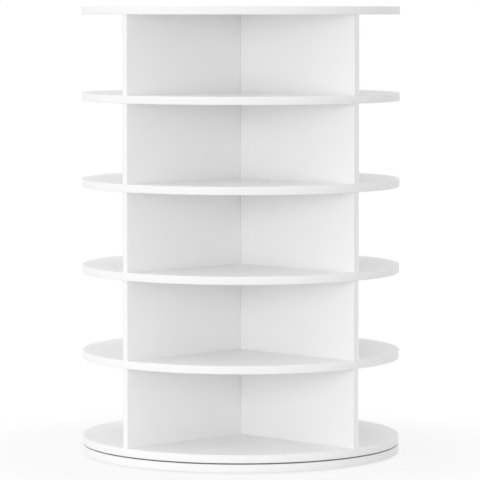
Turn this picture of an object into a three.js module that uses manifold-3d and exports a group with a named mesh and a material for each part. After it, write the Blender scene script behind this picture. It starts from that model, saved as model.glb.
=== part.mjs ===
// Rotating shoe tower: five tiers of four quarter-circle bays that turn on a ball bearing over a fixed base.
// Sizes in millimetres, +Z up, origin on the floor under the axis. The cross boards lie along X and Y.

import * as THREE from "three";
import { mergeVertices, toCreasedNormals } from "three/addons/utils/BufferGeometryUtils.js";
import Module from "manifold-3d";

const wasm = await Module();
wasm.setup();

// Fits
const seatGap = 0.05; // between two faces that bear on each other
const boreClearance = 0.3; // round a bolt or a screw, on the radius
const cutOverrun = 2; // how far a cutting tool runs past the face it enters

// Arms of the cross that the boards of a tier form, seen from above
const armCount = 4;

// Round boards: base, turntable, shelves and top
const boardRadius = 300;
const boardThickness = 15;
const rimBevel = 1; // broken edge of the rim, above and below
const tierCount = 5;
const tierClearHeight = 147; // free height between two boards
const boardGap = 2.5; // open line between the base and the turntable

// Cross boards: two in each tier, halved into each other at the axis
const dividerThickness = 12;
const dividerEndReveal = 1; // how far their ends stop short of the rim
const slotClearance = 0.3; // in the halving joint, on each side

// Connecting bolts through the boards into the edges of the cross boards, each end held by a cam
const boltDiameter = 6;
const boltNeckDiameter = 3;
const boltHeadLength = 3;
const boltNeckTaper = 2; // length over which the bar narrows to the neck
const boltEndInset = 64; // from the cross board's end to the bolt
const camDistance = 24; // from the cross board's edge to the cam's axis
const camPocketDiameter = 12;
const camPocketFloor = 2.5; // wood left behind the pocket
const boltSeatFloor = 4; // wood left behind a bolt screwed into a blind hole

// Foot pads
const footCount = 6;
const footDiameter = 30;
const footTaper = 1; // how much narrower on the radius a pad is at the floor
const footHeight = 3; // height of the base board over the floor
const footInset = 35; // from the rim to the pad's centre

// Turntable bearing: two aluminium rings, one inside the other, with a row of balls between them
const ballCircleRadius = 132;
const ballDiameter = 6;
const ballCount = 16;
const grooveClearance = 0.4; // between a ball and the groove it runs in
const raceGap = 3.2; // between the two rings
const raceLip = 0.9; // metal beyond the groove at the ring's free edge
const runningClearance = 0.6; // between a ring's free edge and the board that turns over it
const webWidth = 8.4;
const flangeWidth = 14;
const flangeThickness = 2.5;
const recessClearance = 2; // round the rings in the turntable's recess

// Ball retainer
const cageClearance = 0.9; // between the retainer strip and either ring
const cageEdgeClearance = 1; // between the strip's edges and the boards below and above it

// Countersunk screws that fix the rings
const screwsPerRing = 4;
const screwDiameter = 3.5;
const screwHeadDiameter = 7;
const screwFloor = 1.5; // wood left beyond the screw's point
const accessHoleDiameter = 16; // in the base, for driving the upper ring's screws from below

// Roundness of the turned shapes
const boardSides = 60;
const ringSides = 48;
const footSides = 12;
const pocketSides = 10;
const accessHoleSides = 12;
const screwSides = 8;
const boltSides = 6;
const ballSides = 8;
const ballBands = 6;
const grooveSteps = 4;
const mergeDistance = 0.001; // points closer than this are one
const creaseAngle = Math.PI / 6; // edges sharper than this stay sharp in the shading

// Heights above the floor, and places that follow from the sizes above
const grooveRadius = ballDiameter / 2 + grooveClearance;
const grooveHalfOpening = Math.sqrt(grooveRadius ** 2 - (raceGap / 2) ** 2);
const ballHeight = grooveHalfOpening + raceLip + runningClearance; // above the bearing's underside
const bearingHeight = 2 * ballHeight;
const recessDepth = bearingHeight + 2 * seatGap - boardGap;
const baseTop = footHeight + boardThickness;
const bearingUnderside = baseTop + seatGap;
const turntableUnderside = baseTop + boardGap;
const tierPitch = tierClearHeight + boardThickness;
const dividerHeight = tierClearHeight - 2 * seatGap;
const dividerLength = 2 * (boardRadius - dividerEndReveal);
const boltCircleRadius = dividerLength / 2 - boltEndInset;
const boltSeatDepth = boardThickness - boltSeatFloor;
const boltBoreRadius = boltDiameter / 2 + boreClearance;
const camPocketDepth = dividerThickness - camPocketFloor;
const flangeEdgeOffset = raceGap / 2 + webWidth + flangeWidth; // from the ball circle to a ring's outer edge
const screwOffset = flangeEdgeOffset - flangeWidth / 2; // from the ball circle to the screws
const lowerScrewLength = flangeThickness + boardThickness - screwFloor;
const upperScrewLength = flangeThickness + boardThickness - recessDepth - screwFloor;
const quarterTurn = Math.PI / 2;
const lowerScrewTurn = Math.PI / screwsPerRing; // the lower ring's screws lie midway between the upper ring's
const footTurn = Math.PI / footCount; // and the pads on either side of the arms

// Finishes
const whiteBoard = new THREE.MeshStandardMaterial({ color: 0xf3f3f1, roughness: 0.45, metalness: 0 });
const aluminium = new THREE.MeshStandardMaterial({ color: 0xc9cbcd, roughness: 0.35, metalness: 1 });
const ballSteel = new THREE.MeshStandardMaterial({ color: 0xd7d9dc, roughness: 0.12, metalness: 1 });
const zincSteel = new THREE.MeshStandardMaterial({ color: 0xb4b6b8, roughness: 0.4, metalness: 1 });
const rubber = new THREE.MeshStandardMaterial({ color: 0x3a3a3c, roughness: 0.85, metalness: 0 });

// A closed geometry as a solid that can be joined and cut
function solidOf(geometry) {
  const bare = geometry.clone();
  bare.deleteAttribute("normal");
  bare.deleteAttribute("uv");
  const merged = mergeVertices(bare, mergeDistance);
  return new wasm.Manifold(
    new wasm.Mesh({
      numProp: 3,
      vertProperties: merged.attributes.position.array,
      triVerts: new Uint32Array(merged.index.array),
    }),
  );
}

// A solid as a geometry that can be drawn
function geometryOf(solid) {
  const mesh = solid.getMesh();
  const geometry = new THREE.BufferGeometry();
  geometry.setAttribute("position", new THREE.BufferAttribute(mesh.vertProperties, mesh.numProp));
  geometry.setIndex(new THREE.BufferAttribute(mesh.triVerts, 1));
  return toCreasedNormals(geometry, creaseAngle);
}

function cut(solid, tools) {
  return tools.reduce((left, tool) => left.subtract(solidOf(tool)), solid);
}

// A profile of [radius, height] points, anticlockwise, turned about the upright axis
function turned(profile, sides) {
  const points = profile.map(([radius, height]) => new THREE.Vector2(radius, height));
  return new THREE.LatheGeometry(points, sides).rotateX(quarterTurn);
}

// An upright round bar or drill between two heights
function uprightBar(radius, low, high, sides) {
  const bar = new THREE.CylinderGeometry(radius, radius, high - low, sides);
  return bar.rotateX(quarterTurn).translate(0, 0, (low + high) / 2);
}

// Places spread evenly round the axis, as { x, y, angle }
function placesRound(count, radius, firstAngle) {
  return Array.from({ length: count }, (_, i) => {
    const angle = firstAngle + (i * 2 * Math.PI) / count;
    return { x: radius * Math.cos(angle), y: radius * Math.sin(angle), angle };
  });
}

// Copies of a tool at such places, each turned with its own arm
function copiesAt(tool, places) {
  return places.map(({ x, y, angle }) => tool.clone().rotateZ(angle).translate(x, y, 0));
}

function addPiece(group, name, geometry, material) {
  const piece = new THREE.Mesh(geometry, material);
  piece.name = name;
  group.add(piece);
  return piece;
}

const armPlaces = placesRound(armCount, boltCircleRadius, 0);
const lowerScrewPlaces = placesRound(screwsPerRing, ballCircleRadius - screwOffset, lowerScrewTurn);
const upperScrewPlaces = placesRound(screwsPerRing, ballCircleRadius + screwOffset, 0);

// A plain round board, its underside at height zero
function roundBoard() {
  const profile = [
    [0, 0],
    [boardRadius - rimBevel, 0],
    [boardRadius, rimBevel],
    [boardRadius, boardThickness - rimBevel],
    [boardRadius - rimBevel, boardThickness],
    [0, boardThickness],
  ];
  return solidOf(turned(profile, boardSides));
}

// The space that a bolt of the cross boards needs, between two heights in a board
function boltDrill(low, high) {
  return uprightBar(boltBoreRadius, low, high, boltSides);
}

// Shelf: the bolts pass through it into the tiers above and below
function shelfBoard() {
  const drill = boltDrill(-cutOverrun, boardThickness + cutOverrun);
  return geometryOf(cut(roundBoard(), copiesAt(drill, armPlaces)));
}

// Top board: blind holes in the underside, a clean face above
function topBoard() {
  const drill = boltDrill(-cutOverrun, boltSeatDepth);
  return geometryOf(cut(roundBoard(), copiesAt(drill, armPlaces)));
}

// The ring-shaped recess that takes the bearing, routed into the turntable's underside
function bearingRecess() {
  const inner = ballCircleRadius - flangeEdgeOffset - recessClearance;
  const outer = ballCircleRadius + flangeEdgeOffset + recessClearance;
  const profile = [
    [inner, -cutOverrun],
    [outer, -cutOverrun],
    [outer, recessDepth],
    [inner, recessDepth],
    [inner, -cutOverrun],
  ];
  return turned(profile, ringSides);
}

// Turntable: the lowest turning board, screwed to the upper ring
function turntableBoard() {
  const boltHole = boltDrill(boardThickness - boltSeatDepth, boardThickness + cutOverrun);
  const holeForScrew = screwHole(upperScrewLength)
    .rotateX(Math.PI)
    .translate(0, 0, recessDepth - flangeThickness - seatGap);
  const tools = [
    bearingRecess(),
    ...copiesAt(boltHole, armPlaces),
    ...copiesAt(holeForScrew, upperScrewPlaces),
  ];
  return geometryOf(cut(roundBoard(), tools));
}

// Base: fixed on the floor, with the lower ring screwed to it and one hole to reach the upper ring's screws
function baseBoard() {
  const holeForScrew = screwHole(lowerScrewLength)
    .translate(0, 0, boardThickness + seatGap + flangeThickness);
  const { x, y } = upperScrewPlaces[0];
  const accessHole = uprightBar(
    accessHoleDiameter / 2,
    -cutOverrun,
    boardThickness + cutOverrun,
    accessHoleSides,
  ).translate(x, y, 0);
  return geometryOf(cut(roundBoard(), [accessHole, ...copiesAt(holeForScrew, lowerScrewPlaces)]));
}

// Cross board along X, standing on height zero, with its cams on the +Y face.
// One board of each pair is slotted from above and the other from below, each to just past half its height.
function dividerBoard(slottedFromAbove) {
  const slotHalfWidth = dividerThickness / 2 + slotClearance;
  const slotDepth = (dividerHeight + slotClearance) / 2;
  const slotEnd = slottedFromAbove ? dividerHeight - slotDepth : slotDepth;
  const slotEdge = slottedFromAbove ? dividerHeight : 0;
  const half = dividerLength / 2;
  const slot = [
    [slotHalfWidth, slotEdge],
    [slotHalfWidth, slotEnd],
    [-slotHalfWidth, slotEnd],
    [-slotHalfWidth, slotEdge],
  ];
  const lowEdge = [[-half, 0], ...(slottedFromAbove ? [] : slot.slice().reverse()), [half, 0]];
  const highEdge = [[half, dividerHeight], ...(slottedFromAbove ? slot : []), [-half, dividerHeight]];
  const outline = new THREE.Shape([...lowEdge, ...highEdge].map(([x, z]) => new THREE.Vector2(x, z)));
  const plank = new THREE.ExtrudeGeometry(outline, { depth: dividerThickness, bevelEnabled: false })
    .rotateX(quarterTurn)
    .translate(0, dividerThickness / 2, 0);

  const lowBore = boltDrill(-cutOverrun, camDistance + boreClearance);
  const highBore = boltDrill(dividerHeight - camDistance - boreClearance, dividerHeight + cutOverrun);
  const camPocket = new THREE.CylinderGeometry(
    camPocketDiameter / 2,
    camPocketDiameter / 2,
    camPocketDepth + cutOverrun,
    pocketSides,
  ).translate(0, dividerThickness / 2 - (camPocketDepth - cutOverrun) / 2, 0);
  const tools = [-boltCircleRadius, boltCircleRadius].flatMap((x) => [
    lowBore.clone().translate(x, 0, 0),
    highBore.clone().translate(x, 0, 0),
    camPocket.clone().translate(x, 0, camDistance),
    camPocket.clone().translate(x, 0, dividerHeight - camDistance),
  ]);
  return geometryOf(cut(solidOf(plank), tools));
}

// One end of a connecting bolt, as [radius, height] points from the bar up to the flat tip that the cam grips
function boltEndProfile(tipHeight) {
  return [
    [boltDiameter / 2, tipHeight - boltHeadLength - boltNeckTaper],
    [boltNeckDiameter / 2, tipHeight - boltHeadLength],
    [boltDiameter / 2, tipHeight],
    [0, tipHeight],
  ];
}

// Bolt with a head at both ends, height zero at the middle of its shelf
function doubleBolt() {
  const upperEnd = boltEndProfile(boardThickness / 2 + seatGap + camDistance);
  const lowerEnd = upperEnd.map(([radius, height]) => [radius, -height]).reverse();
  return turned([...lowerEnd, ...upperEnd], boltSides);
}

// Bolt with one head, height zero at the face of the board it is screwed into
function singleBolt() {
  const seat = boreClearance - boltSeatDepth;
  const profile = [[0, seat], [boltDiameter / 2, seat], ...boltEndProfile(seatGap + camDistance)];
  return turned(profile, boltSides);
}

// Countersunk screw in half section from its point up to the rim of its head, grown all round by a clearance
function screwProfile(length, clearance) {
  const head = screwHeadDiameter / 2 + clearance;
  const shank = screwDiameter / 2 + clearance;
  const headHeight = (screwHeadDiameter - screwDiameter) / 2;
  const pointLength = screwDiameter;
  return [
    [0, -length - clearance],
    [shank, pointLength - length - clearance],
    [shank, -headHeight - clearance],
    [head, -clearance],
  ];
}

// The screw, its flat head at height zero
function countersunkScrew(length) {
  return turned([...screwProfile(length, 0), [0, 0]], screwSides);
}

// The hole it goes into, open above the head
function screwHole(length) {
  const profile = screwProfile(length, boreClearance);
  const [mouthRadius] = profile.at(-1);
  return turned([...profile, [mouthRadius, cutOverrun], [0, cutOverrun]], screwSides);
}

// Lower bearing ring in cross-section, from its flange inside to the groove in its outer wall.
// "across" runs from the ball circle towards the flange and "up" from the seated face.
function ringSection() {
  const wall = raceGap / 2;
  const freeEdge = bearingHeight - runningClearance;
  const halfArc = Math.asin(grooveHalfOpening / grooveRadius);
  const groove = Array.from({ length: grooveSteps + 1 }, (_, i) => {
    const angle = halfArc * ((2 * i) / grooveSteps - 1);
    return [grooveRadius * Math.cos(angle), ballHeight + grooveRadius * Math.sin(angle)];
  });
  return [
    [flangeEdgeOffset, 0],
    [wall, 0],
    ...groove,
    [wall, freeEdge],
    [wall + webWidth, freeEdge],
    [wall + webWidth, flangeThickness],
    [flangeEdgeOffset, flangeThickness],
    [flangeEdgeOffset, 0],
  ];
}

// Lower ring, seated face at height zero
function innerRing() {
  const profile = ringSection().map(([across, up]) => [ballCircleRadius - across, up]);
  const holeForScrew = screwHole(lowerScrewLength).translate(0, 0, flangeThickness);
  return geometryOf(cut(solidOf(turned(profile, ringSides)), copiesAt(holeForScrew, lowerScrewPlaces)));
}

// Upper ring: the same section outside the ball circle, upside down, seated at the bearing's full height
function outerRing() {
  const profile = ringSection().map(([across, up]) => [ballCircleRadius + across, bearingHeight - up]);
  const holeForScrew = screwHole(upperScrewLength)
    .rotateX(Math.PI)
    .translate(0, 0, bearingHeight - flangeThickness);
  return geometryOf(cut(solidOf(turned(profile, ringSides)), copiesAt(holeForScrew, upperScrewPlaces)));
}

// Row of balls held apart by a thin strip that runs between the rings
function ballCage() {
  const halfStrip = raceGap / 2 - cageClearance;
  const low = cageEdgeClearance;
  const high = bearingHeight - cageEdgeClearance;
  const profile = [
    [ballCircleRadius - halfStrip, low],
    [ballCircleRadius + halfStrip, low],
    [ballCircleRadius + halfStrip, high],
    [ballCircleRadius - halfStrip, high],
    [ballCircleRadius - halfStrip, low],
  ];
  const strip = solidOf(turned(profile, ringSides));
  const ball = new THREE.SphereGeometry(ballDiameter / 2, ballSides, ballBands).rotateX(quarterTurn);
  return placesRound(ballCount, ballCircleRadius, 0).reduce((joined, { x, y, angle }) => {
    const seatedBall = ball.clone().rotateZ(angle).translate(x, y, ballHeight);
    return joined.add(solidOf(seatedBall));
  }, strip);
}

// Foot pad, a little narrower at the floor
function footPad() {
  const top = footDiameter / 2;
  const profile = [
    [0, 0],
    [top - footTaper, 0],
    [top, footHeight - seatGap],
    [0, footHeight - seatGap],
  ];
  return turned(profile, footSides);
}

// Fixed base: pads, board, lower ring and its screws
function buildBase() {
  const base = new THREE.Group();
  addPiece(base, "base_board", baseBoard(), whiteBoard).position.z = footHeight;
  const pad = footPad();
  placesRound(footCount, boardRadius - footInset, footTurn).forEach(({ x, y }, i) => {
    addPiece(base, `foot_pad_${i + 1}`, pad, rubber).position.set(x, y, 0);
  });
  addPiece(base, "bearing_lower_ring", innerRing(), aluminium).position.z = bearingUnderside;
  const screw = countersunkScrew(lowerScrewLength);
  lowerScrewPlaces.forEach(({ x, y, angle }, i) => {
    const piece = addPiece(base, `lower_ring_screw_${i + 1}`, screw, zincSteel);
    piece.position.set(x, y, bearingUnderside + flangeThickness);
    piece.rotation.z = angle;
  });
  return base;
}

// The balls and their retainer, which roll round between the rings at about half the tower's speed
function buildCage() {
  const cage = new THREE.Group();
  addPiece(cage, "ball_cage", geometryOf(ballCage()), ballSteel).position.z = bearingUnderside;
  return cage;
}

// Turntable: upper ring, its screws from below, the lowest board and the bolts that stand in it
function buildTurntable() {
  const turntable = new THREE.Group();
  addPiece(turntable, "bearing_upper_ring", outerRing(), aluminium).position.z = bearingUnderside;
  const screw = countersunkScrew(upperScrewLength);
  upperScrewPlaces.forEach(({ x, y, angle }, i) => {
    const piece = addPiece(turntable, `upper_ring_screw_${i + 1}`, screw, zincSteel);
    piece.position.set(x, y, bearingUnderside + bearingHeight - flangeThickness);
    piece.rotation.set(Math.PI, 0, angle);
  });
  addPiece(turntable, "turntable_board", turntableBoard(), whiteBoard).position.z = turntableUnderside;
  const bolt = singleBolt();
  armPlaces.forEach(({ x, y, angle }, i) => {
    const piece = addPiece(turntable, `turntable_bolt_${i + 1}`, bolt, zincSteel);
    piece.position.set(x, y, turntableUnderside + boardThickness);
    piece.rotation.z = angle;
  });
  return turntable;
}

// All tiers: two crossed boards in each, a bolted shelf between two tiers, the top board over the last
function buildTiers() {
  const tiers = new THREE.Group();
  tiers.position.z = turntableUnderside + boardThickness;
  const boardAlongX = dividerBoard(true);
  const boardAlongY = dividerBoard(false);
  const shelf = shelfBoard();
  const shelfBolt = doubleBolt();
  for (let tier = 1; tier <= tierCount; tier += 1) {
    const floor = (tier - 1) * tierPitch;
    addPiece(tiers, `tier_${tier}_divider_x`, boardAlongX, whiteBoard).position.z = floor + seatGap;
    const crossing = addPiece(tiers, `tier_${tier}_divider_y`, boardAlongY, whiteBoard);
    crossing.position.z = floor + seatGap;
    crossing.rotation.z = quarterTurn;
    if (tier < tierCount) {
      const underside = floor + tierClearHeight;
      addPiece(tiers, `shelf_${tier}`, shelf, whiteBoard).position.z = underside;
      armPlaces.forEach(({ x, y, angle }, i) => {
        const piece = addPiece(tiers, `shelf_${tier}_bolt_${i + 1}`, shelfBolt, zincSteel);
        piece.position.set(x, y, underside + boardThickness / 2);
        piece.rotation.z = angle;
      });
    }
  }
  const topUnderside = (tierCount - 1) * tierPitch + tierClearHeight;
  addPiece(tiers, "top_board", topBoard(), whiteBoard).position.z = topUnderside;
  const bolt = singleBolt();
  armPlaces.forEach(({ x, y, angle }, i) => {
    const piece = addPiece(tiers, `top_bolt_${i + 1}`, bolt, zincSteel);
    piece.position.set(x, y, topUnderside);
    piece.rotation.set(Math.PI, 0, angle);
  });
  return tiers;
}

const shoeTower = new THREE.Group();
shoeTower.add(buildBase(), buildCage(), buildTurntable(), buildTiers());

export default shoeTower;
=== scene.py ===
# Rotating shoe tower: white laminated boards that turn on a ball bearing, with all its fittings.
# The studio floor, the world, the lamps and the camera come last.
# Lengths in metres, +Z up, origin on the floor under the axis. The cross boards lie along X and Y.

import math

import bmesh
import bpy
from mathutils import Matrix, Vector


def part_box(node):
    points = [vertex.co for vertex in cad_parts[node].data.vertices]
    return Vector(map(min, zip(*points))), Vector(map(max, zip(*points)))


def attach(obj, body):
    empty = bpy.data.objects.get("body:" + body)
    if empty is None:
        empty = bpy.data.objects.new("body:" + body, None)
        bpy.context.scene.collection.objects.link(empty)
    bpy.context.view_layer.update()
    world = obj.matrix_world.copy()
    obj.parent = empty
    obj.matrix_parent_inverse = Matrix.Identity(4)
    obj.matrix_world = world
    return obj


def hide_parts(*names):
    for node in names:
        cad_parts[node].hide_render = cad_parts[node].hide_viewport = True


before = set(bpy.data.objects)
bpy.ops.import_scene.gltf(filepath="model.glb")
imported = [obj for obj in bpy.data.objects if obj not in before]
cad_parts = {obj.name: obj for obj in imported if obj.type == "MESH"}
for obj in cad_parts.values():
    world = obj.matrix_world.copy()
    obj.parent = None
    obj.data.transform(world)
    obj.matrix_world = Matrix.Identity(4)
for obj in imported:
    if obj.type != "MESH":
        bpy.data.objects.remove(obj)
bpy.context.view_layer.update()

MM = 0.001

# Round boards
BOARD_RADIUS = 300 * MM
BOARD_THICKNESS = 15 * MM
RIM_ROUNDING = 1.0 * MM
BAND_WIDTH = 1.2 * MM  # edge band, seen from above as a fine line round the face
BOARD_STEPS = 240
ROUNDING_STEPS = 4  # of a small quarter round
SHARP = 30  # degrees, above which an edge is shaded sharp
TIERS = 5
TIER_PITCH = 162 * MM

# Cross boards
CROSS_LENGTH = 598 * MM
CROSS_THICKNESS = 12 * MM
CROSS_ROUNDING = 0.6 * MM
CROSS_ROUNDING_STEPS = 3
CROSS_SHARP = 14  # degrees
SLOT_CLEARANCE = 0.3 * MM
ARMS = 4  # of a tier's cross, each with its own bolts
BOLT_CIRCLE = 235 * MM
BORE_RADIUS = 3.3 * MM
CAM_DISTANCE = 24 * MM
POCKET_RADIUS = 6 * MM
POCKET_DEPTH = 9.5 * MM
POCKET_STEPS = 40

# Bearing
BALL_CIRCLE = 132 * MM
BALL_RADIUS = 3 * MM
BALL_COUNT = 16
BALL_DETAIL = 4  # times that the faces of a ball are divided
BALL_HOLE_CLEARANCE = 0.12 * MM
BALL_HOLE_STEPS = 28
STRIP_THICKNESS = 1.4 * MM  # of the strip that spaces the balls
STRIP_HEIGHT = 7 * MM
RACE_HALF_GAP = 1.6 * MM
GROOVE_RADIUS = 3.4 * MM
GROOVE_STEPS = 12
RING_ROUNDING = 0.4 * MM
RING_ROUNDING_STEPS = 3
WEB_WIDTH = 8.4 * MM
FLANGE_WIDTH = 14 * MM
FLANGE_THICKNESS = 2.5 * MM
RUNNING_CLEARANCE = 0.6 * MM
RING_STEPS = 192
RING_SCREWS = 4
LOWER_SCREW_ANGLE = 45  # degrees
SCREW_OFFSET = 17 * MM
SCREW_RADIUS = 1.75 * MM
SCREW_HEAD_RADIUS = 3.5 * MM
LOWER_SCREW_LENGTH = 16 * MM
UPPER_SCREW_LENGTH = 9.4 * MM
RECESS_DEPTH = 6.6 * MM
RECESS_CLEARANCE = 2 * MM
ACCESS_RADIUS = 8 * MM  # of the hole in the base through which the upper ring's screws are driven
ACCESS_STEPS = 48

# Bores and screw holes
BORE_OVERRUN = 2 * MM  # how far a cutting tool runs past the face it enters
BORE_STEPS = 24
SAME_POINT = 0.0002 * MM  # points of a cut closer together than this become one
SCREW_CLEARANCE = 0.3 * MM
BOLT_SEAT_DEPTH = 11 * MM  # in the turntable and the top board

# Screws, connecting bolts, cams and covers
SCREW_STEPS = 24
RECESS_MOUTH = (1, 0.42, 0.3)  # a cross recess's length and width by its size, and its height by its depth
RECESS_FLOOR = (0.45, 0.22, -1)
BOLT_RADIUS = 3 * MM
BOLT_NECK_RADIUS = 1.5 * MM
BOLT_END = (  # radius, and distance below the tip
    (BOLT_RADIUS, 5.4 * MM),
    (BOLT_NECK_RADIUS, 3.2 * MM),
    (BOLT_NECK_RADIUS, 2.6 * MM),
    (BOLT_RADIUS - 0.2 * MM, 1.4 * MM),
    (BOLT_RADIUS, 0.5 * MM),
    (BOLT_RADIUS - 0.5 * MM, 0),
    (0, 0),
)
BOLT_STEPS = 20
CAM_RADIUS = 5.85 * MM
CAM_TOP = -1.1 * MM  # below the cross board's face
CAM_STEPS = 28
COVER_RADIUS = 7.2 * MM
COVER_HEIGHT = 0.98 * MM
COVER_STEPS = 40
COVER_SHARP = 35  # degrees
NOTCH_RADIUS = 1.1 * MM  # of the notch in a cover's rim
NOTCH_STEPS = 20

# Feet
FOOT_COUNT = 6
FOOT_FIRST_ANGLE = 30  # degrees
FOOT_CIRCLE = 265 * MM
FOOT_RADIUS = 15 * MM
FOOT_STEPS = 48
FOOT_SHARP = 40  # degrees

# Studio
AMBIENT = 0.81
LAMP_AIM_HEIGHT = 0.45
LAMPS = (  # name, azimuth, elevation, distance, width, height, watts
    ("key_lamp", 20, 5, 5.0, 3.2, 1.7, 62),
    ("fill_lamp", -45, 20, 4.0, 2.6, 1.4, 20),
    ("side_lamp", 75, 5, 5.0, 2.6, 1.7, 10),
)
FLOOR_RADIUS = 14
FLOOR_SIDES = 96
FLOOR_WHITENESS = 0.82  # share of plain white mixed into the floor as it is seen close to the tower
SHADOW_NEAR = 0.35  # from here the floor is seen whiter outwards
SHADOW_FAR = 0.7  # and from here on it is seen as plain white
SWEEP_NEAR = 0.8  # the white paper under the tower reaches as far as this
SWEEP_FAR = 1.6  # and from here on the floor is pale grey, so that less light comes up at the high tiers
CAMERA_TURN = 45  # degrees round the axis, between two arms of the cross
CAMERA_DISTANCE = 5.912
CAMERA_LEFT = 0.0014  # sideways from the line to the axis
CAMERA_HEIGHT = 0.838
CAMERA_PITCH = 85.8  # degrees from straight down
CAMERA_LENS = 234.56
CAMERA_SENSOR = 36

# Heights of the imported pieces, which the finished ones keep
BASE_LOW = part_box("base_board")[0].z
TURNTABLE_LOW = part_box("turntable_board")[0].z
BEARING_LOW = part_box("bearing_lower_ring")[0].z
BEARING_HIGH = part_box("bearing_upper_ring")[1].z
BALL_HEIGHT = (BEARING_LOW + BEARING_HIGH) / 2
FLOOR_OF_FIRST_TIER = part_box("tier_1_divider_x")[0].z
CROSS_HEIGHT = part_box("tier_1_divider_x")[1].z - FLOOR_OF_FIRST_TIER
FOOT_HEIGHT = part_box("foot_pad_1")[1].z


# Nodes and finishes

class Graph:
    """A node tree under construction, with short ways to add and join its nodes."""

    def __init__(self, tree):
        self.nodes = tree.nodes
        self.links = tree.links

    def feed(self, socket, source):
        """Joins an input to another node's output, or sets its value."""
        if isinstance(source, bpy.types.NodeSocket):
            self.links.new(source, socket)
        else:
            socket.default_value = source

    def add(self, kind, settings=None, **sources):
        """A new node with its settings, and its inputs by name."""
        node = self.nodes.new(kind)
        for label, value in (settings or {}).items():
            setattr(node, label, value)
        for label, source in sources.items():
            self.feed(node.inputs[label.replace("_", " ")], source)
        return node

    def calculate(self, operation, *numbers):
        node = self.add("ShaderNodeMath", {"operation": operation})
        for socket, number in zip(node.inputs, numbers):
            self.feed(socket, number)
        return node.outputs["Value"]

    def seen_directly(self):
        """1 for rays that show the backdrop itself: from the camera, in a mirror or through glass."""
        path = self.add("ShaderNodeLightPath").outputs
        seen = self.calculate("MAXIMUM", path["Is Camera Ray"], path["Is Glossy Ray"])
        return self.calculate("MAXIMUM", seen, path["Is Transmission Ray"])

    def mix_into(self, output, share, first, second):
        """Mixes two shaders into the output node."""
        mix = self.add("ShaderNodeMixShader")
        for socket, source in zip(mix.inputs, (share, first, second)):
            self.feed(socket, source)
        self.links.new(mix.outputs["Shader"], self.nodes[output].inputs["Surface"])


class Finish(Graph):
    """A material under construction."""

    def __init__(self, name):
        self.material = bpy.data.materials.new(name)
        self.material.use_nodes = True
        super().__init__(self.material.node_tree)
        self.shader = self.nodes["Principled BSDF"]
        self.place = self.add("ShaderNodeTexCoord").outputs["Object"]

    def set(self, **sources):
        """Sets or joins inputs of the shader."""
        for label, source in sources.items():
            self.feed(self.shader.inputs[label.replace("_", " ")], source)

    def noise(self, scale, detail=2.0, roughness=0.5, stretch=None):
        place = self.place
        if stretch:
            place = self.add("ShaderNodeMapping", Vector=place, Scale=stretch).outputs["Vector"]
        node = self.add(
            "ShaderNodeTexNoise", Vector=place, Scale=scale, Detail=detail, Roughness=roughness,
        )
        return node.outputs["Fac"]

    def spread(self, fac, low, high, start=0.3, end=0.7, curve="LINEAR"):
        """Lays the values from start to end out from low to high."""
        node = self.add(
            "ShaderNodeMapRange", {"interpolation_type": curve},
            Value=fac, From_Min=start, From_Max=end, To_Min=low, To_Max=high,
        )
        return node.outputs["Result"]

    def blend(self, fac, first, second):
        """Runs from the first colour to the second."""
        node = self.add("ShaderNodeMix", {"data_type": "RGBA"})
        self.feed(node.inputs[0], fac)
        # A mix node has its colours at inputs 6 and 7, and the mixed one at output 2.
        for socket, colour in zip(node.inputs[6:8], (first, second)):
            self.feed(socket, (*colour, 1) if isinstance(colour, tuple) else colour)
        return node.outputs[2]

    def radius(self):
        """Distance from the tower's axis."""
        flat = self.add("ShaderNodeVectorMath", {"operation": "MULTIPLY"})
        self.feed(flat.inputs[0], self.place)
        self.feed(flat.inputs[1], (1, 1, 0))
        length = self.add("ShaderNodeVectorMath", {"operation": "LENGTH"})
        self.feed(length.inputs[0], flat.outputs["Vector"])
        return length.outputs["Value"]

    def bump(self, height, distance, strength):
        node = self.add("ShaderNodeBump", Height=height, Distance=distance, Strength=strength)
        return node.outputs["Normal"]


def white_laminate():
    """Melamine-faced board: satin white, with a fine pearl texture and a barely uneven tone."""
    finish = Finish("white_laminate")
    cloud = finish.noise(scale=7, detail=3)
    tone = finish.blend(cloud, (0.94, 0.94, 0.939), (0.955, 0.955, 0.955))
    fleck = finish.spread(finish.noise(scale=520, roughness=0.6), 0, 0.35, start=0.62, end=0.8)
    finish.set(Base_Color=finish.blend(fleck, tone, (0.93, 0.93, 0.928)))
    finish.set(Roughness=finish.spread(finish.noise(scale=38, detail=3), 0.31, 0.35))
    pearl = finish.noise(scale=1400, roughness=0.6)
    finish.set(Normal=finish.bump(pearl, distance=0.00001, strength=0.4))
    finish.set(IOR=1.5)
    return finish.material


def edge_band():
    """Plastic edge band, a shade darker than the laminate, with faint lines along it from trimming."""
    finish = Finish("edge_band")
    tone = finish.blend(finish.noise(scale=16), (0.905, 0.905, 0.905), (0.92, 0.92, 0.92))
    finish.set(Base_Color=tone)
    trim_lines = finish.noise(scale=24, detail=3, roughness=0.6, stretch=(1, 1, 60))
    finish.set(Roughness=finish.spread(trim_lines, 0.30, 0.42))
    finish.set(Normal=finish.bump(trim_lines, distance=0.00005, strength=0.4))
    finish.set(IOR=1.5)
    return finish.material


def pressed_wood():
    """Raw chipboard where a hole, slot or recess cuts through the laminate."""
    finish = Finish("pressed_wood")
    chips = finish.noise(scale=420, detail=4, roughness=0.65)
    dark = finish.blend(finish.noise(scale=95, detail=3), (0.36, 0.25, 0.15), (0.50, 0.37, 0.24))
    finish.set(Base_Color=finish.blend(finish.spread(chips, 0, 1), dark, (0.66, 0.54, 0.38)))
    finish.set(Roughness=finish.spread(chips, 0.75, 0.92))
    finish.set(Normal=finish.bump(chips, distance=0.0004, strength=0.6))
    return finish.material


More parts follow.
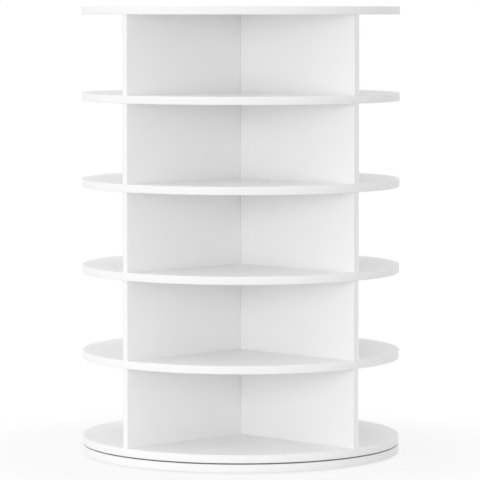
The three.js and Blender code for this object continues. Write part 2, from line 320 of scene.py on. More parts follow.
def cover_plastic():
    """Moulded white plastic of the covers over the cams."""
    finish = Finish("cover_plastic")
    tone = finish.blend(finish.noise(scale=60), (0.90, 0.90, 0.897), (0.92, 0.92, 0.917))
    finish.set(Base_Color=tone)
    finish.set(Roughness=finish.spread(finish.noise(scale=300), 0.28, 0.38))
    finish.set(Normal=finish.bump(finish.noise(scale=900), distance=0.00003, strength=0.5))
    finish.set(IOR=1.46)
    return finish.material


def turned_aluminium():
    """Aluminium with the fine circular lines of the lathe."""
    finish = Finish("turned_aluminium")
    lines_per_metre = 2600.0
    lines = finish.calculate("FRACT", finish.calculate("MULTIPLY", finish.radius(), lines_per_metre))
    ridge = finish.calculate("ABSOLUTE", finish.calculate("SUBTRACT", lines, 0.5))
    smudge = finish.noise(scale=70, detail=3)
    finish.set(Base_Color=finish.blend(smudge, (0.66, 0.67, 0.68), (0.76, 0.765, 0.77)))
    finish.set(Roughness=finish.spread(smudge, 0.26, 0.40))
    finish.set(Normal=finish.bump(ridge, distance=0.00006, strength=0.6))
    finish.set(Metallic=1.0)
    return finish.material


def polished_steel():
    """Bearing steel, with a light film of grease."""
    finish = Finish("polished_steel")
    film = finish.noise(scale=260, detail=3)
    finish.set(Base_Color=finish.blend(film, (0.64, 0.65, 0.66), (0.72, 0.73, 0.74)))
    finish.set(Roughness=finish.spread(film, 0.07, 0.17))
    finish.set(Normal=finish.bump(finish.noise(scale=1500), distance=0.00001, strength=0.4))
    finish.set(Metallic=1.0)
    return finish.material


def zinc_plate():
    """Clear zinc on steel: cool grey, with the faint colour play of the passivated coat."""
    finish = Finish("zinc_plate")
    play = finish.blend(finish.noise(scale=180, detail=3), (0.56, 0.60, 0.66), (0.67, 0.66, 0.62))
    grain = finish.noise(scale=900, detail=3, roughness=0.6)
    finish.set(Base_Color=finish.blend(finish.spread(grain, 0, 0.4), play, (0.48, 0.49, 0.50)))
    finish.set(Roughness=finish.spread(grain, 0.28, 0.46))
    finish.set(Normal=finish.bump(grain, distance=0.00004, strength=0.5))
    finish.set(Metallic=1.0)
    return finish.material


def foot_rubber():
    """Dark grey rubber with a fine stipple, dusty in its hollows."""
    finish = Finish("foot_rubber")
    stipple = finish.noise(scale=1100, roughness=0.6)
    dust = finish.spread(finish.noise(scale=120, detail=3), 0, 0.5)
    finish.set(Base_Color=finish.blend(dust, (0.035, 0.035, 0.037), (0.09, 0.088, 0.085)))
    finish.set(Roughness=finish.spread(stipple, 0.7, 0.9))
    finish.set(Normal=finish.bump(stipple, distance=0.0001, strength=0.6))
    return finish.material


LAMINATE = white_laminate()
BAND = edge_band()
CORE = pressed_wood()
COVER_PLASTIC = cover_plastic()
ALUMINIUM = turned_aluminium()
STEEL = polished_steel()
ZINC = zinc_plate()
RUBBER = foot_rubber()
BOARD_FINISHES = (LAMINATE, BAND, CORE)
FACE, EDGE, RAW = range(3)


# Making and cutting meshes

def placed(name, data):
    """A new object in the scene."""
    thing = bpy.data.objects.new(name, data)
    bpy.context.scene.collection.objects.link(thing)
    return thing


def piece_from(name, mesh, finishes):
    for finish in finishes:
        mesh.materials.append(finish)
    return placed(name, mesh)


def apply_modifiers(piece):
    """Makes what the modifiers show the piece's own mesh."""
    graph = bpy.context.evaluated_depsgraph_get()
    result = bpy.data.meshes.new_from_object(piece.evaluated_get(graph), depsgraph=graph)
    piece.modifiers.clear()
    old = piece.data
    piece.data = result
    bpy.data.meshes.remove(old)


def mesh_from(name, shape, sharp_above=None):
    """Closes a bmesh into a mesh. Edges sharper than the given angle stay sharp, the rest shade smooth."""
    bmesh.ops.recalc_face_normals(shape, faces=shape.faces)
    for face in shape.faces:
        face.smooth = True
    if sharp_above is not None:
        for edge in shape.edges:
            turn = edge.calc_face_angle(0)
            edge.smooth = turn < math.radians(sharp_above)
    mesh = bpy.data.meshes.new(name)
    shape.to_mesh(mesh)
    shape.free()
    return mesh


def lathe(profile, steps, kinds=None):
    """A closed solid of revolution from (radius, height) points, with a kind of finish for each stretch."""
    shape = bmesh.new()
    turns = [math.tau * k / steps for k in range(steps)]
    rings = []
    for radius, height in profile:
        if radius == 0:
            places = [(0, 0, height)]
        else:
            places = [(radius * math.cos(t), radius * math.sin(t), height) for t in turns]
        rings.append([shape.verts.new(place) for place in places])
    stretches = list(zip(rings, rings[1:] + rings[:1]))
    for index, (low, high) in enumerate(stretches):
        if len(low) == 1 and len(high) == 1:
            continue
        for k in range(steps):
            after = (k + 1) % steps
            corners = [low[k % len(low)], low[after % len(low)]]
            corners += [high[after % len(high)], high[k % len(high)]]
            face = shape.faces.new(list(dict.fromkeys(corners)))
            if kinds:
                face.material_index = kinds[index]
    return shape


def lathed(name, profile, steps, finish, sharp_above=SHARP):
    """A piece in one finish, made on the lathe."""
    return piece_from(name, mesh_from(name, lathe(profile, steps), sharp_above), [finish])


def arc(centre_radius, centre_height, radius, start, end, steps):
    """Points of a quarter round or a groove in a lathe profile, angles in degrees."""
    points = []
    for k in range(steps + 1):
        angle = math.radians(start + (end - start) * k / steps)
        points.append((centre_radius + radius * math.cos(angle), centre_height + radius * math.sin(angle)))
    return points


def upright_bar(radius, low, high, x=0.0, y=0.0, steps=BORE_STEPS):
    shape = lathe([(0, low), (radius, low), (radius, high), (0, high)], steps)
    bmesh.ops.translate(shape, vec=(x, y, 0), verts=shape.verts)
    return shape


def joined(shapes):
    """One bmesh from several."""
    whole = bmesh.new()
    for shape in shapes:
        mesh = bpy.data.meshes.new("part")
        shape.to_mesh(mesh)
        shape.free()
        whole.from_mesh(mesh)
        bpy.data.meshes.remove(mesh)
    return whole


def cut_away(piece, tools, kind=0, sharp_above=SHARP):
    """Cuts the tools out of the piece. The new walls take the piece's finish of that kind."""
    shape = joined(tools)
    for face in shape.faces:
        face.material_index = kind
    cutter = piece_from("cutter", mesh_from("cutter", shape), list(piece.data.materials))
    modifier = piece.modifiers.new("cut", "BOOLEAN")
    modifier.operation = "DIFFERENCE"
    modifier.solver = "EXACT"
    modifier.material_mode = "INDEX"
    modifier.object = cutter
    apply_modifiers(piece)
    bpy.data.objects.remove(cutter)
    shape = bmesh.new()
    shape.from_mesh(piece.data)
    bmesh.ops.remove_doubles(shape, verts=shape.verts, dist=SAME_POINT)
    for edge in shape.edges:
        edge.smooth = edge.calc_face_angle(0) < math.radians(sharp_above)
    for face in shape.faces:
        face.smooth = True
    shape.to_mesh(piece.data)
    shape.free()
    return piece


def around(count, radius, first_angle=0.0):
    """Places spread evenly round the axis, the first at an angle in degrees."""
    angles = [math.radians(first_angle) + math.tau * k / count for k in range(count)]
    return [(radius * math.cos(a), radius * math.sin(a)) for a in angles]


def settle(piece, body, slot, *nodes):
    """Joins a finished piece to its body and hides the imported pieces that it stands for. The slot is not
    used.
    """
    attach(piece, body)
    if nodes:
        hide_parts(*nodes)


def numbered(name, count):
    return [f"{name}_{k}" for k in range(1, count + 1)]


# Round boards

def board_profile(low, recess=False):
    """Half section of a round board with a banded, soft rim: its points, and the kind of each stretch."""
    high = low + BOARD_THICKNESS
    flat = BOARD_RADIUS - RIM_ROUNDING
    banded = BOARD_RADIUS - BAND_WIDTH
    points = [(0, low)]
    kinds = [FACE]
    if recess:
        inner = BALL_CIRCLE - RACE_HALF_GAP - WEB_WIDTH - FLANGE_WIDTH - RECESS_CLEARANCE
        outer = BALL_CIRCLE + RACE_HALF_GAP + WEB_WIDTH + FLANGE_WIDTH + RECESS_CLEARANCE
        points += [(inner, low), (inner, low + RECESS_DEPTH), (outer, low + RECESS_DEPTH), (outer, low)]
        kinds += [RAW, RAW, RAW, FACE]
    points += [(banded, low)]
    kinds += [EDGE]
    lower_round = arc(flat, low + RIM_ROUNDING, RIM_ROUNDING, -90, 0, ROUNDING_STEPS)
    upper_round = arc(flat, high - RIM_ROUNDING, RIM_ROUNDING, 0, 90, ROUNDING_STEPS)
    points += lower_round + upper_round
    kinds += [EDGE] * (len(lower_round) + len(upper_round))
    points += [(banded, high), (0, high)]
    kinds += [FACE, FACE]
    return points, kinds


def round_board(name, low, tools, recess=False):
    points, kinds = board_profile(low, recess)
    mesh = mesh_from(name, lathe(points, BOARD_STEPS, kinds), SHARP)
    piece = piece_from(name, mesh, BOARD_FINISHES)
    return cut_away(piece, tools, RAW)


def bores_for_bolts(low, high):
    return [upright_bar(BORE_RADIUS, low, high, x, y) for x, y in around(ARMS, BOLT_CIRCLE)]


def countersink(length, x, y, head_at, upward):
    """The hole for a countersunk screw, its head at the given height."""
    head = SCREW_HEAD_RADIUS + SCREW_CLEARANCE
    shank = SCREW_RADIUS + SCREW_CLEARANCE
    depth = SCREW_HEAD_RADIUS - SCREW_RADIUS
    points = [(0, -BORE_OVERRUN), (head, -BORE_OVERRUN), (head, 0)]
    points += [(shank, depth), (shank, length), (0, length)]
    way = 1 if upward else -1
    shape = lathe([(radius, head_at + way * into) for radius, into in points], BORE_STEPS)
    bmesh.ops.translate(shape, vec=(x, y, 0), verts=shape.verts)
    return shape


LOWER_SCREWS = around(RING_SCREWS, BALL_CIRCLE - SCREW_OFFSET, LOWER_SCREW_ANGLE)
UPPER_SCREWS = around(RING_SCREWS, BALL_CIRCLE + SCREW_OFFSET)
LOWER_HEAD = BEARING_LOW + FLANGE_THICKNESS
UPPER_HEAD = BEARING_HIGH - FLANGE_THICKNESS


def build_round_boards():
    tools = [upright_bar(ACCESS_RADIUS, 0, 2 * BOARD_THICKNESS, *UPPER_SCREWS[0], ACCESS_STEPS)]
    tools += [countersink(LOWER_SCREW_LENGTH, x, y, LOWER_HEAD, upward=False) for x, y in LOWER_SCREWS]
    base = round_board("round_base", BASE_LOW, tools)
    settle(base, "base", "white_board", "base_board")

    top_of_turntable = TURNTABLE_LOW + BOARD_THICKNESS
    tools = bores_for_bolts(top_of_turntable - BOLT_SEAT_DEPTH, top_of_turntable + BORE_OVERRUN)
    tools += [countersink(UPPER_SCREW_LENGTH, x, y, UPPER_HEAD, upward=True) for x, y in UPPER_SCREWS]
    turntable = round_board("round_turntable", TURNTABLE_LOW, tools, recess=True)
    settle(turntable, "tower", "white_board", "turntable_board")

    for k in range(1, TIERS):
        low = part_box(f"shelf_{k}")[0].z
        bores = bores_for_bolts(low - BORE_OVERRUN, low + BOARD_THICKNESS + BORE_OVERRUN)
        shelf = round_board(f"round_shelf_{k}", low, bores)
        settle(shelf, "tower", "white_board", f"shelf_{k}")

    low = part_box("top_board")[0].z
    top = round_board("round_top", low, bores_for_bolts(low - BORE_OVERRUN, low + BOLT_SEAT_DEPTH))
    settle(top, "tower", "white_board", "top_board")


# Cross boards

def cross_board(name, low, slotted_from_above, turned):
    """One board of a tier's cross, along X with its cam pockets towards +Y. Turned, it lies along Y."""
    half = CROSS_LENGTH / 2
    slot = CROSS_THICKNESS / 2 + SLOT_CLEARANCE
    high = low + CROSS_HEIGHT
    middle = low + CROSS_HEIGHT / 2 + (-SLOT_CLEARANCE if slotted_from_above else SLOT_CLEARANCE) / 2
    if slotted_from_above:
        notch = [(slot, high), (slot, middle), (-slot, middle), (-slot, high)]
        outline = [(-half, low), (half, low), (half, high), *notch, (-half, high)]
    else:
        notch = [(-slot, low), (-slot, middle), (slot, middle), (slot, low)]
        outline = [(-half, low), *notch, (half, low), (half, high), (-half, high)]
    shape = bmesh.new()
    thick = CROSS_THICKNESS / 2
    near = [shape.verts.new((x, -thick, z)) for x, z in outline]
    far = [shape.verts.new((x, thick, z)) for x, z in outline]
    shape.faces.new(near)
    shape.faces.new(far[::-1])
    count = len(outline)
    for k in range(count):
        after = (k + 1) % count
        wall = shape.faces.new((near[k], near[after], far[after], far[k]))
        inside_slot = all(abs(outline[j][0]) < 2 * slot for j in (k, after))
        at_end = all(abs(outline[j][0]) > half - MM for j in (k, after))
        wall.material_index = RAW if inside_slot else EDGE if at_end else FACE
    shape.normal_update()
    ends = [e for e in shape.edges if all(abs(v.co.x) > half - MM for v in e.verts)]
    bmesh.ops.bevel(
        shape, geom=ends, offset=CROSS_ROUNDING, segments=CROSS_ROUNDING_STEPS, profile=0.5,
        affect="EDGES", material=EDGE,
    )
    piece = piece_from(name, mesh_from(name, shape, CROSS_SHARP), BOARD_FINISHES)
    tools = []
    pocket_floor = thick - POCKET_DEPTH
    turn = Matrix.Rotation(math.radians(-90), 4, "X")
    for x in (-BOLT_CIRCLE, BOLT_CIRCLE):
        tools.append(upright_bar(BORE_RADIUS, low - BORE_OVERRUN, low + CAM_DISTANCE, x))
        tools.append(upright_bar(BORE_RADIUS, high - CAM_DISTANCE, high + BORE_OVERRUN, x))
        for z in (low + CAM_DISTANCE, high - CAM_DISTANCE):
            pocket = upright_bar(POCKET_RADIUS, pocket_floor, thick + BORE_OVERRUN, steps=POCKET_STEPS)
            bmesh.ops.transform(pocket, matrix=Matrix.Translation((x, 0, z)) @ turn, verts=pocket.verts)
            tools.append(pocket)
    cut_away(piece, tools, RAW, CROSS_SHARP)
    if turned:
        piece.data.transform(Matrix.Rotation(math.radians(90), 4, "Z"))
    return piece


def build_cross_boards():
    for tier in range(1, TIERS + 1):
        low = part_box(f"tier_{tier}_divider_x")[0].z
        along_x = cross_board(f"cross_{tier}_x", low, slotted_from_above=True, turned=False)
        along_y = cross_board(f"cross_{tier}_y", low, slotted_from_above=False, turned=True)
        settle(along_x, "tower", "white_board", f"tier_{tier}_divider_x")
        settle(along_y, "tower", "white_board", f"tier_{tier}_divider_y")


# Geometry node trees for what repeats

class Tree(Graph):
    """A geometry node tree under construction, with named inputs."""

    def __init__(self, name, inputs):
        self.group = bpy.data.node_groups.new(name, "GeometryNodeTree")
        super().__init__(self.group)
        for label, kind in inputs:
            self.group.interface.new_socket(label, in_out="INPUT", socket_type="NodeSocket" + kind)
        self.group.interface.new_socket("Geometry", in_out="OUTPUT", socket_type="NodeSocketGeometry")
        self.given = self.nodes.new("NodeGroupInput").outputs

    def vector(self, x=0.0, z=0.0):
        return self.add("ShaderNodeCombineXYZ", X=x, Z=z).outputs["Vector"]

    def row(self, count, step, start=(0, 0, 0)):
        """Points in a straight row."""
        settings = {"mode": "OFFSET"}
        line = self.add("GeometryNodeMeshLine", settings, Count=count, Offset=step, Start_Location=start)
        return line.outputs["Mesh"]

    def copies(self, points, instance, turn=(0, 0, 0)):
        node = self.add("GeometryNodeInstanceOnPoints", Points=points, Instance=instance, Rotation=turn)
        return node.outputs["Instances"]

    def finish(self, geometry, material):
        solid = self.add("GeometryNodeRealizeInstances", Geometry=geometry).outputs["Geometry"]
        painted = self.add("GeometryNodeSetMaterial", Geometry=solid, Material=material).outputs["Geometry"]
        self.links.new(painted, self.nodes.new("NodeGroupOutput").inputs["Geometry"])
        return self.group


def tree_of_circles():
    """Copies of a part on circles about the axis, one above another, each copy turned outwards."""
    tree = Tree("parts_on_circles", [
        ("Part", "Object"), ("Finish", "Material"), ("Count", "Int"), ("Circle Radius", "Float"),
        ("First Angle", "Float"), ("Height", "Float"), ("Levels", "Int"), ("Level Pitch", "Float"),
    ])
    part = tree.add("GeometryNodeObjectInfo", Object=tree.given["Part"]).outputs["Geometry"]
    number = tree.add("GeometryNodeInputIndex").outputs["Index"]
    share = tree.calculate("DIVIDE", number, tree.given["Count"])
    angle = tree.calculate("ADD", tree.calculate("MULTIPLY", share, math.tau), tree.given["First Angle"])
    outward = tree.vector(x=tree.given["Circle Radius"])
    arm = tree.copies(tree.row(1, (0, 0, 0), outward), part)
    circle = tree.copies(tree.row(tree.given["Count"], (0, 0, 0)), arm, tree.vector(z=angle))
    step, first = tree.vector(z=tree.given["Level Pitch"]), tree.vector(z=tree.given["Height"])
    levels = tree.row(tree.given["Levels"], step, first)
    return tree.finish(tree.copies(levels, circle), tree.given["Finish"])


def tree_of_cam_places():
    """Copies of a part at every cam: two along a cross board, two up it, two boards a tier."""
    tree = Tree("parts_at_the_cams", [
        ("Part", "Object"), ("Finish", "Material"), ("Bolt Circle", "Float"), ("Lowest", "Float"),
        ("Rise", "Float"), ("Tiers", "Int"), ("Tier Pitch", "Float"),
    ])
    part = tree.add("GeometryNodeObjectInfo", Object=tree.given["Part"]).outputs["Geometry"]
    circle = tree.given["Bolt Circle"]
    step, first = (tree.vector(x=tree.calculate("MULTIPLY", circle, side)) for side in (2.0, -1.0))
    across = tree.row(2, step, first)
    board = tree.copies(tree.row(2, tree.vector(z=tree.given["Rise"])), tree.copies(across, part))
    number = tree.add("GeometryNodeInputIndex").outputs["Index"]
    quarter = tree.vector(z=tree.calculate("MULTIPLY", number, math.pi / 2))
    cross = tree.copies(tree.row(2, (0, 0, 0)), board, quarter)
    step, first = tree.vector(z=tree.given["Tier Pitch"]), tree.vector(z=tree.given["Lowest"])
    tiers = tree.row(tree.given["Tiers"], step, first)
    return tree.finish(tree.copies(tiers, cross), tree.given["Finish"])


def tree_of_balls():
    """A row of balls on the ball circle."""
    tree = Tree("row_of_balls", [
        ("Steel", "Material"), ("Count", "Int"), ("Ball Radius", "Float"), ("Ball Detail", "Int"),
        ("Circle Radius", "Float"), ("Height", "Float"),
    ])
    given = tree.given
    ball = tree.add(
        "GeometryNodeMeshIcoSphere", Radius=given["Ball Radius"], Subdivisions=given["Ball Detail"],
    )
    smooth = tree.add("GeometryNodeSetShadeSmooth", Geometry=ball.outputs["Mesh"]).outputs["Geometry"]
    circle = tree.add("GeometryNodeMeshCircle", Vertices=given["Count"], Radius=given["Circle Radius"])
    row = tree.copies(circle.outputs["Mesh"], smooth)
    raised = tree.add("GeometryNodeTransform", Geometry=row, Translation=tree.vector(z=given["Height"]))
    return tree.finish(raised.outputs["Geometry"], given["Steel"])


def grown(name, tree, sizes):
    """A plain mesh piece from a tree, with its named inputs set."""
    piece = placed(name, bpy.data.meshes.new(name))
    modifier = piece.modifiers.new("places", "NODES")
    modifier.node_group = tree
    for item in tree.interface.items_tree:
        if item.item_type == "SOCKET" and item.in_out == "INPUT":
            modifier[item.identifier] = sizes[item.name]
    apply_modifiers(piece)
    return piece


def on_circles(name, part, finish, count, radius, height, first_angle=0.0, levels=1, pitch=0.0):
    piece = grown(name, ON_CIRCLES, {
        "Part": part, "Finish": finish, "Count": count, "Circle Radius": radius, "Height": height,
        "First Angle": math.radians(first_angle), "Levels": levels, "Level Pitch": pitch,
    })
    bpy.data.objects.remove(part)
    return piece


def at_cams(name, part, finish):
    piece = grown(name, AT_CAMS, {
        "Part": part, "Finish": finish, "Bolt Circle": BOLT_CIRCLE,
        "Lowest": FLOOR_OF_FIRST_TIER + CAM_DISTANCE, "Rise": CROSS_HEIGHT - 2 * CAM_DISTANCE,
        "Tiers": TIERS, "Tier Pitch": TIER_PITCH,
    })
    bpy.data.objects.remove(part)
    return piece


ON_CIRCLES = tree_of_circles()
AT_CAMS = tree_of_cam_places()
BALL_ROW = tree_of_balls()


# Bearing

def ring_profile():
    """Section that both rings have: (outwards from the ball circle, up from the seated face)."""
    height = BEARING_HIGH - BEARING_LOW
    free = height - RUNNING_CLEARANCE
    near = RACE_HALF_GAP
    web = RACE_HALF_GAP + WEB_WIDTH
    outer = RACE_HALF_GAP + WEB_WIDTH + FLANGE_WIDTH
    soft = RING_ROUNDING
    half_opening = math.degrees(math.acos(RACE_HALF_GAP / GROOVE_RADIUS))
    points = [(outer, 0.0), (near + soft, 0.0), (near, soft)]
    points += arc(0, height / 2, GROOVE_RADIUS, -half_opening, half_opening, GROOVE_STEPS)
    points += [(near, free - soft), (near + soft, free)]
    points += [(web - soft, free), (web, free - soft)]
    points += arc(web + soft, FLANGE_THICKNESS + soft, soft, 180, 270, RING_ROUNDING_STEPS)
    points += [(outer - soft, FLANGE_THICKNESS), (outer, FLANGE_THICKNESS - soft)]
    return points


def build_bearing():
    section = ring_profile()
    profile = [(BALL_CIRCLE - across, BEARING_LOW + up) for across, up in section]
    tools = [countersink(LOWER_SCREW_LENGTH, x, y, LOWER_HEAD, upward=False) for x, y in LOWER_SCREWS]
    lower = cut_away(lathed("lower_ring", profile, RING_STEPS, ALUMINIUM), tools)
    settle(lower, "base", "ring_aluminium", "bearing_lower_ring")
    profile = [(BALL_CIRCLE + across, BEARING_HIGH - up) for across, up in section]
    tools = [countersink(UPPER_SCREW_LENGTH, x, y, UPPER_HEAD, upward=True) for x, y in UPPER_SCREWS]
    upper = cut_away(lathed("upper_ring", profile, RING_STEPS, ALUMINIUM), tools)
    settle(upper, "tower", "ring_aluminium", "bearing_upper_ring")

    balls = grown("balls", BALL_ROW, {
        "Steel": STEEL, "Count": BALL_COUNT, "Ball Radius": BALL_RADIUS, "Ball Detail": BALL_DETAIL,
        "Circle Radius": BALL_CIRCLE, "Height": BALL_HEIGHT,
    })
    settle(balls, "cage", "ball_steel", "ball_cage")

    inner = BALL_CIRCLE - STRIP_THICKNESS / 2
    outer = BALL_CIRCLE + STRIP_THICKNESS / 2
    low = BALL_HEIGHT - STRIP_HEIGHT / 2
    high = BALL_HEIGHT + STRIP_HEIGHT / 2
    band = [(inner, low), (outer, low), (outer, high), (inner, high)]
    strip = lathed("ball_strip", band, RING_STEPS, STEEL)
    holes = []
    hole_radius = BALL_RADIUS + BALL_HOLE_CLEARANCE
    lying = Matrix.Rotation(math.radians(90), 4, "Y")
    for k, (x, y) in enumerate(around(BALL_COUNT, BALL_CIRCLE)):
        hole = upright_bar(hole_radius, -BORE_OVERRUN, BORE_OVERRUN, steps=BALL_HOLE_STEPS)
        turn = Matrix.Rotation(math.tau * k / BALL_COUNT, 4, "Z") @ lying
        bmesh.ops.transform(hole, matrix=Matrix.Translation((x, y, BALL_HEIGHT)) @ turn, verts=hole.verts)
        holes.append(hole)
    cut_away(strip, holes)
    settle(strip, "cage", "ball_steel")


# Screws, bolts, cams, their covers and the feet

def cross_recess(depth, size):
    """A tapered cross-shaped tool for the recess in a head, its mouth at height zero."""
    arms = []
    for angle in (0, 90):
        turn = Matrix.Rotation(math.radians(angle), 3, "Z")
        shape = bmesh.new()
        bmesh.ops.create_cube(shape, size=1)
        for vert in shape.verts:
            length, width, height = RECESS_FLOOR if vert.co.z < 0 else RECESS_MOUTH
            vert.co.x *= 2 * size * length
            vert.co.y *= size * width
            vert.co.z = height * depth
        bmesh.ops.rotate(shape, cent=(0, 0, 0), matrix=turn, verts=shape.verts)
        arms.append(shape)
    return arms


def screw_part(length, upward):
    """Countersunk screw with a thread and a cross recess. Its head is at height zero."""
    core = 0.68 * SCREW_RADIUS
    head = SCREW_HEAD_RADIUS - SCREW_RADIUS
    brim = 0.15 * MM
    tip = 0.5 * MM
    point = 2 * MM
    plain = 3 * MM  # the point and the shank above the thread together
    pitch = 1.4 * MM
    points = [(0, -length), (0.35 * core, -length + tip)]
    for k in range(int((length - head - plain) / pitch)):
        z = -length + point + k * pitch
        reach = SCREW_RADIUS if k else 0.75 * SCREW_RADIUS
        points += [(core, z), (reach, z + 0.35 * pitch), (core, z + 0.7 * pitch)]
    points += [(SCREW_RADIUS, -head), (SCREW_HEAD_RADIUS, -brim), (SCREW_HEAD_RADIUS, 0), (0, 0)]
    part = lathed("screw_part", points, SCREW_STEPS, ZINC)
    for arm in cross_recess(depth=1.6 * MM, size=1.9 * MM):
        cut_away(part, [arm])
    if upward:
        part.data.transform(Matrix.Rotation(math.pi, 4, "X"))
    return part


def bolt_end(tip):
    """The upper end of a connecting bolt, from the bar past the neck that the cam grips to the tip."""
    return [(radius, tip - below) for radius, below in BOLT_END]


def shelf_bolt_part():
    """Double-ended bolt with a rolled grip at its middle."""
    reach = BOARD_THICKNESS / 2 + CAM_DISTANCE
    upper = bolt_end(reach)
    lower = [(radius, -height) for radius, height in reversed(upper)]
    grip = []
    rib = 1.5 * MM
    ribs_each_way = 4
    valley = BOLT_RADIUS - 0.2 * MM
    for k in range(-ribs_each_way, ribs_each_way):
        grip += [(valley, (k + 0.1) * rib), (BOLT_RADIUS, (k + 0.3) * rib)]
        grip += [(BOLT_RADIUS, (k + 0.7) * rib), (valley, (k + 0.9) * rib)]
    return lathed("bolt_part", lower + grip + upper, BOLT_STEPS, ZINC)


def end_bolt_part(upward):
    """Single-ended bolt, its thread in the round board and height zero at that board's face."""
    core = 2.2 * MM
    seat = SCREW_CLEARANCE - BOLT_SEAT_DEPTH
    lead = 0.5 * MM
    turns = 5
    pitch = 1.9 * MM
    crest = 0.7 * MM
    root = 1.4 * MM
    collar = 0.2 * MM
    points = [(0, seat), (core, seat)]
    for k in range(turns):
        z = seat + lead + k * pitch
        points += [(core, z), (BOLT_RADIUS, z + crest), (core, z + root)]
    points += [(BOLT_RADIUS, -collar)] + bolt_end(CAM_DISTANCE)
    part = lathed("bolt_part", points, BOLT_STEPS, ZINC)
    if not upward:
        part.data.transform(Matrix.Rotation(math.pi, 4, "X"))
    return part


def cam_part():
    """Cam lying in its pocket with a cross recess towards +Y."""
    low = -POCKET_DEPTH + 0.2 * MM
    waist = 0.55 * CAM_RADIUS
    chamfer = 0.92 * CAM_RADIUS
    points = [
        (0, low),
        (CAM_RADIUS, low),
        (CAM_RADIUS, low + 2.2 * MM),
        (waist, low + 2.6 * MM),
        (waist, CAM_TOP - 2.5 * MM),
        (CAM_RADIUS, CAM_TOP - 2.1 * MM),
        (CAM_RADIUS, CAM_TOP - 0.3 * MM),
        (chamfer, CAM_TOP),
        (0, CAM_TOP),
    ]
    part = lathed("cam_part", points, CAM_STEPS, ZINC)
    for tool in cross_recess(depth=2.2 * MM, size=3.0 * MM):
        bmesh.ops.translate(tool, vec=(0, 0, CAM_TOP), verts=tool.verts)
        cut_away(part, [tool])
    lay_against_face(part)
    return part


def cover_part():
    """Cover over a cam: a shallow dome with a rolled edge and a notch to prise it out, towards +Y."""
    brim = COVER_RADIUS
    spigot = CAM_RADIUS - 0.15 * MM
    spigot_depth = MM
    spigot_taper = 0.1 * MM
    notch_floor = 0.15 * MM
    dome = (  # radius, and share of the height
        (brim, 0.25),
        (brim - 0.25 * MM, 0.5),
        (brim - 0.8 * MM, 0.7),
        (0.6 * brim, 0.88),
        (0.3 * brim, 0.97),
        (0, 1),
    )
    points = [(0, -spigot_depth), (spigot - spigot_taper, -spigot_depth), (spigot, 0), (brim, 0)]
    points += [(radius, share * COVER_HEIGHT) for radius, share in dome]
    part = lathed("cover_part", points, COVER_STEPS, COVER_PLASTIC, COVER_SHARP)
    notch = upright_bar(NOTCH_RADIUS, notch_floor, BORE_OVERRUN, 0, -brim, NOTCH_STEPS)
    cut_away(part, [notch])
    lay_against_face(part)
    return part


def lay_against_face(part):
    """Turns a part made upright so that its top looks towards +Y from the cross board's face."""
    face = Matrix.Translation((0, CROSS_THICKNESS / 2, 0))
    part.data.transform(face @ Matrix.Rotation(math.radians(-90), 4, "X"))


def foot_part():
    """Rubber pad with a rounded edge at the floor, a soft lip above it and a shallow dish underneath."""
    top = FOOT_HEIGHT
    dish = 0.6 * FOOT_RADIUS
    dish_depth = 0.5 * MM
    rounding = 0.9 * MM
    edge = FOOT_RADIUS - 2 * rounding
    under_lip = FOOT_RADIUS - 0.3 * MM
    lip_top = FOOT_RADIUS - 0.1 * MM
    points = [(0, dish_depth), (dish, dish_depth), (dish + MM, 0), (edge, 0)]
    points += arc(edge, rounding, rounding, -60, 0, ROUNDING_STEPS)
    points += [(under_lip, top - 0.7 * MM), (FOOT_RADIUS, top - 0.4 * MM), (lip_top, top), (0, top)]
    return lathed("foot_part", points, FOOT_STEPS, RUBBER, FOOT_SHARP)


def build_fittings():
    screw = screw_part(LOWER_SCREW_LENGTH, upward=False)
    circle = BALL_CIRCLE - SCREW_OFFSET
    lower = on_circles("lower_screws", screw, ZINC, RING_SCREWS, circle, LOWER_HEAD, LOWER_SCREW_ANGLE)
    settle(lower, "base", "zinc_steel", *numbered("lower_ring_screw", RING_SCREWS))
    screw = screw_part(UPPER_SCREW_LENGTH, upward=True)
    circle = BALL_CIRCLE + SCREW_OFFSET
    upper = on_circles("upper_screws", screw, ZINC, RING_SCREWS, circle, UPPER_HEAD)
    settle(upper, "tower", "zinc_steel", *numbered("upper_ring_screw", RING_SCREWS))

    bolt = shelf_bolt_part()
    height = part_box("shelf_1")[0].z + BOARD_THICKNESS / 2
    in_shelves = on_circles(
        "shelf_bolts", bolt, ZINC, ARMS, BOLT_CIRCLE, height, levels=TIERS - 1, pitch=TIER_PITCH,
    )
    nodes = [node for k in range(1, TIERS) for node in numbered(f"shelf_{k}_bolt", ARMS)]
    settle(in_shelves, "tower", "zinc_steel", *nodes)
    bolt = end_bolt_part(upward=True)
    height = TURNTABLE_LOW + BOARD_THICKNESS
    lowest = on_circles("turntable_bolts", bolt, ZINC, ARMS, BOLT_CIRCLE, height)
    settle(lowest, "tower", "zinc_steel", *numbered("turntable_bolt", ARMS))
    bolt = end_bolt_part(upward=False)
    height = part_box("top_board")[0].z
    highest = on_circles("top_bolts", bolt, ZINC, ARMS, BOLT_CIRCLE, height)
    settle(highest, "tower", "zinc_steel", *numbered("top_bolt", ARMS))

    settle(at_cams("cams", cam_part(), ZINC), "tower", "zinc_steel")
    settle(at_cams("cam_covers", cover_part(), COVER_PLASTIC), "tower", "white_board")

    feet = on_circles("feet", foot_part(), RUBBER, FOOT_COUNT, FOOT_CIRCLE, 0, FOOT_FIRST_ANGLE)
    settle(feet, "base", "foot_rubber", *numbered("foot_pad", FOOT_COUNT))


# Studio: floor, world, lamps and camera

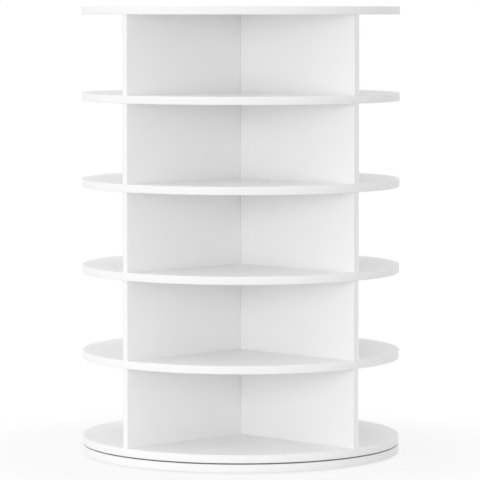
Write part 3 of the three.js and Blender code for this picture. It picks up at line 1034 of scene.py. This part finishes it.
def pale_floor():
    """White floor that keeps the soft shadow near the tower and runs out into the white background."""
    finish = Finish("studio_floor")
    paper = finish.blend(finish.noise(scale=3, detail=3), (0.79, 0.79, 0.79), (0.81, 0.81, 0.81))
    outer = finish.spread(finish.radius(), 0, 1, SWEEP_NEAR, SWEEP_FAR)
    finish.set(Base_Color=finish.blend(outer, paper, (0.5, 0.5, 0.5)))
    finish.set(Roughness=finish.spread(finish.noise(scale=14), 0.75, 0.9))
    reach = finish.spread(finish.radius(), FLOOR_WHITENESS, 1, SHADOW_NEAR, SHADOW_FAR, "SMOOTHSTEP")
    share = finish.calculate("MULTIPLY", reach, finish.seen_directly())
    lit = finish.shader.outputs["BSDF"]
    white = finish.add("ShaderNodeEmission", Strength=1.0).outputs["Emission"]
    finish.mix_into("Material Output", share, lit, white)
    return finish.material


def build_floor():
    shape = bmesh.new()
    bmesh.ops.create_circle(shape, cap_ends=True, radius=FLOOR_RADIUS, segments=FLOOR_SIDES)
    mesh = bpy.data.meshes.new("floor")
    shape.to_mesh(mesh)
    shape.free()
    floor = piece_from("floor", mesh, [pale_floor()])


def build_world():
    world = bpy.data.worlds.new("studio")
    bpy.context.scene.world = world
    world.use_nodes = True
    graph = Graph(world.node_tree)
    white = (1, 1, 1, 1)
    light = graph.nodes["Background"]
    graph.feed(light.inputs["Color"], white)
    graph.feed(light.inputs["Strength"], AMBIENT)
    light = light.outputs["Background"]
    backdrop = graph.add("ShaderNodeBackground", Color=white, Strength=1.0).outputs["Background"]
    graph.mix_into("World Output", graph.seen_directly(), light, backdrop)


def build_lamp(name, azimuth, elevation, distance, width, height, power):
    """A soft box aimed at the tower's middle, placed by an azimuth and an elevation."""
    a, e = math.radians(azimuth), math.radians(elevation)
    away = Vector((math.sin(a) * math.cos(e), -math.cos(a) * math.cos(e), math.sin(e)))
    lamp = bpy.data.lights.new(name, "AREA")
    lamp.shape = "RECTANGLE"
    lamp.size = width
    lamp.size_y = height
    lamp.energy = power
    holder = placed(name, lamp)
    holder.location = Vector((0, 0, LAMP_AIM_HEIGHT)) + away * distance
    holder.rotation_mode = "QUATERNION"
    holder.rotation_quaternion = (-away).to_track_quat("-Z", "Y")
    holder.visible_camera = False
    holder.visible_glossy = False


def build_camera():
    camera = bpy.data.cameras.new("camera")
    camera.sensor_width = CAMERA_SENSOR
    camera.lens = CAMERA_LENS
    camera.clip_start = 0.1
    camera.clip_end = 100
    holder = placed("camera", camera)
    turn = math.radians(CAMERA_TURN)
    away = Vector((math.sin(turn), -math.cos(turn), 0))
    right = Vector((math.cos(turn), math.sin(turn), 0))
    holder.location = away * CAMERA_DISTANCE - right * CAMERA_LEFT + Vector((0, 0, CAMERA_HEIGHT))
    holder.rotation_euler = (math.radians(CAMERA_PITCH), 0, turn)
    bpy.context.scene.camera = holder


build_round_boards()
build_cross_boards()
build_bearing()
build_fittings()
build_floor()
build_world()
for lamp in LAMPS:
    build_lamp(*lamp)
build_camera()
bpy.context.scene.view_settings.view_transform = "Standard"
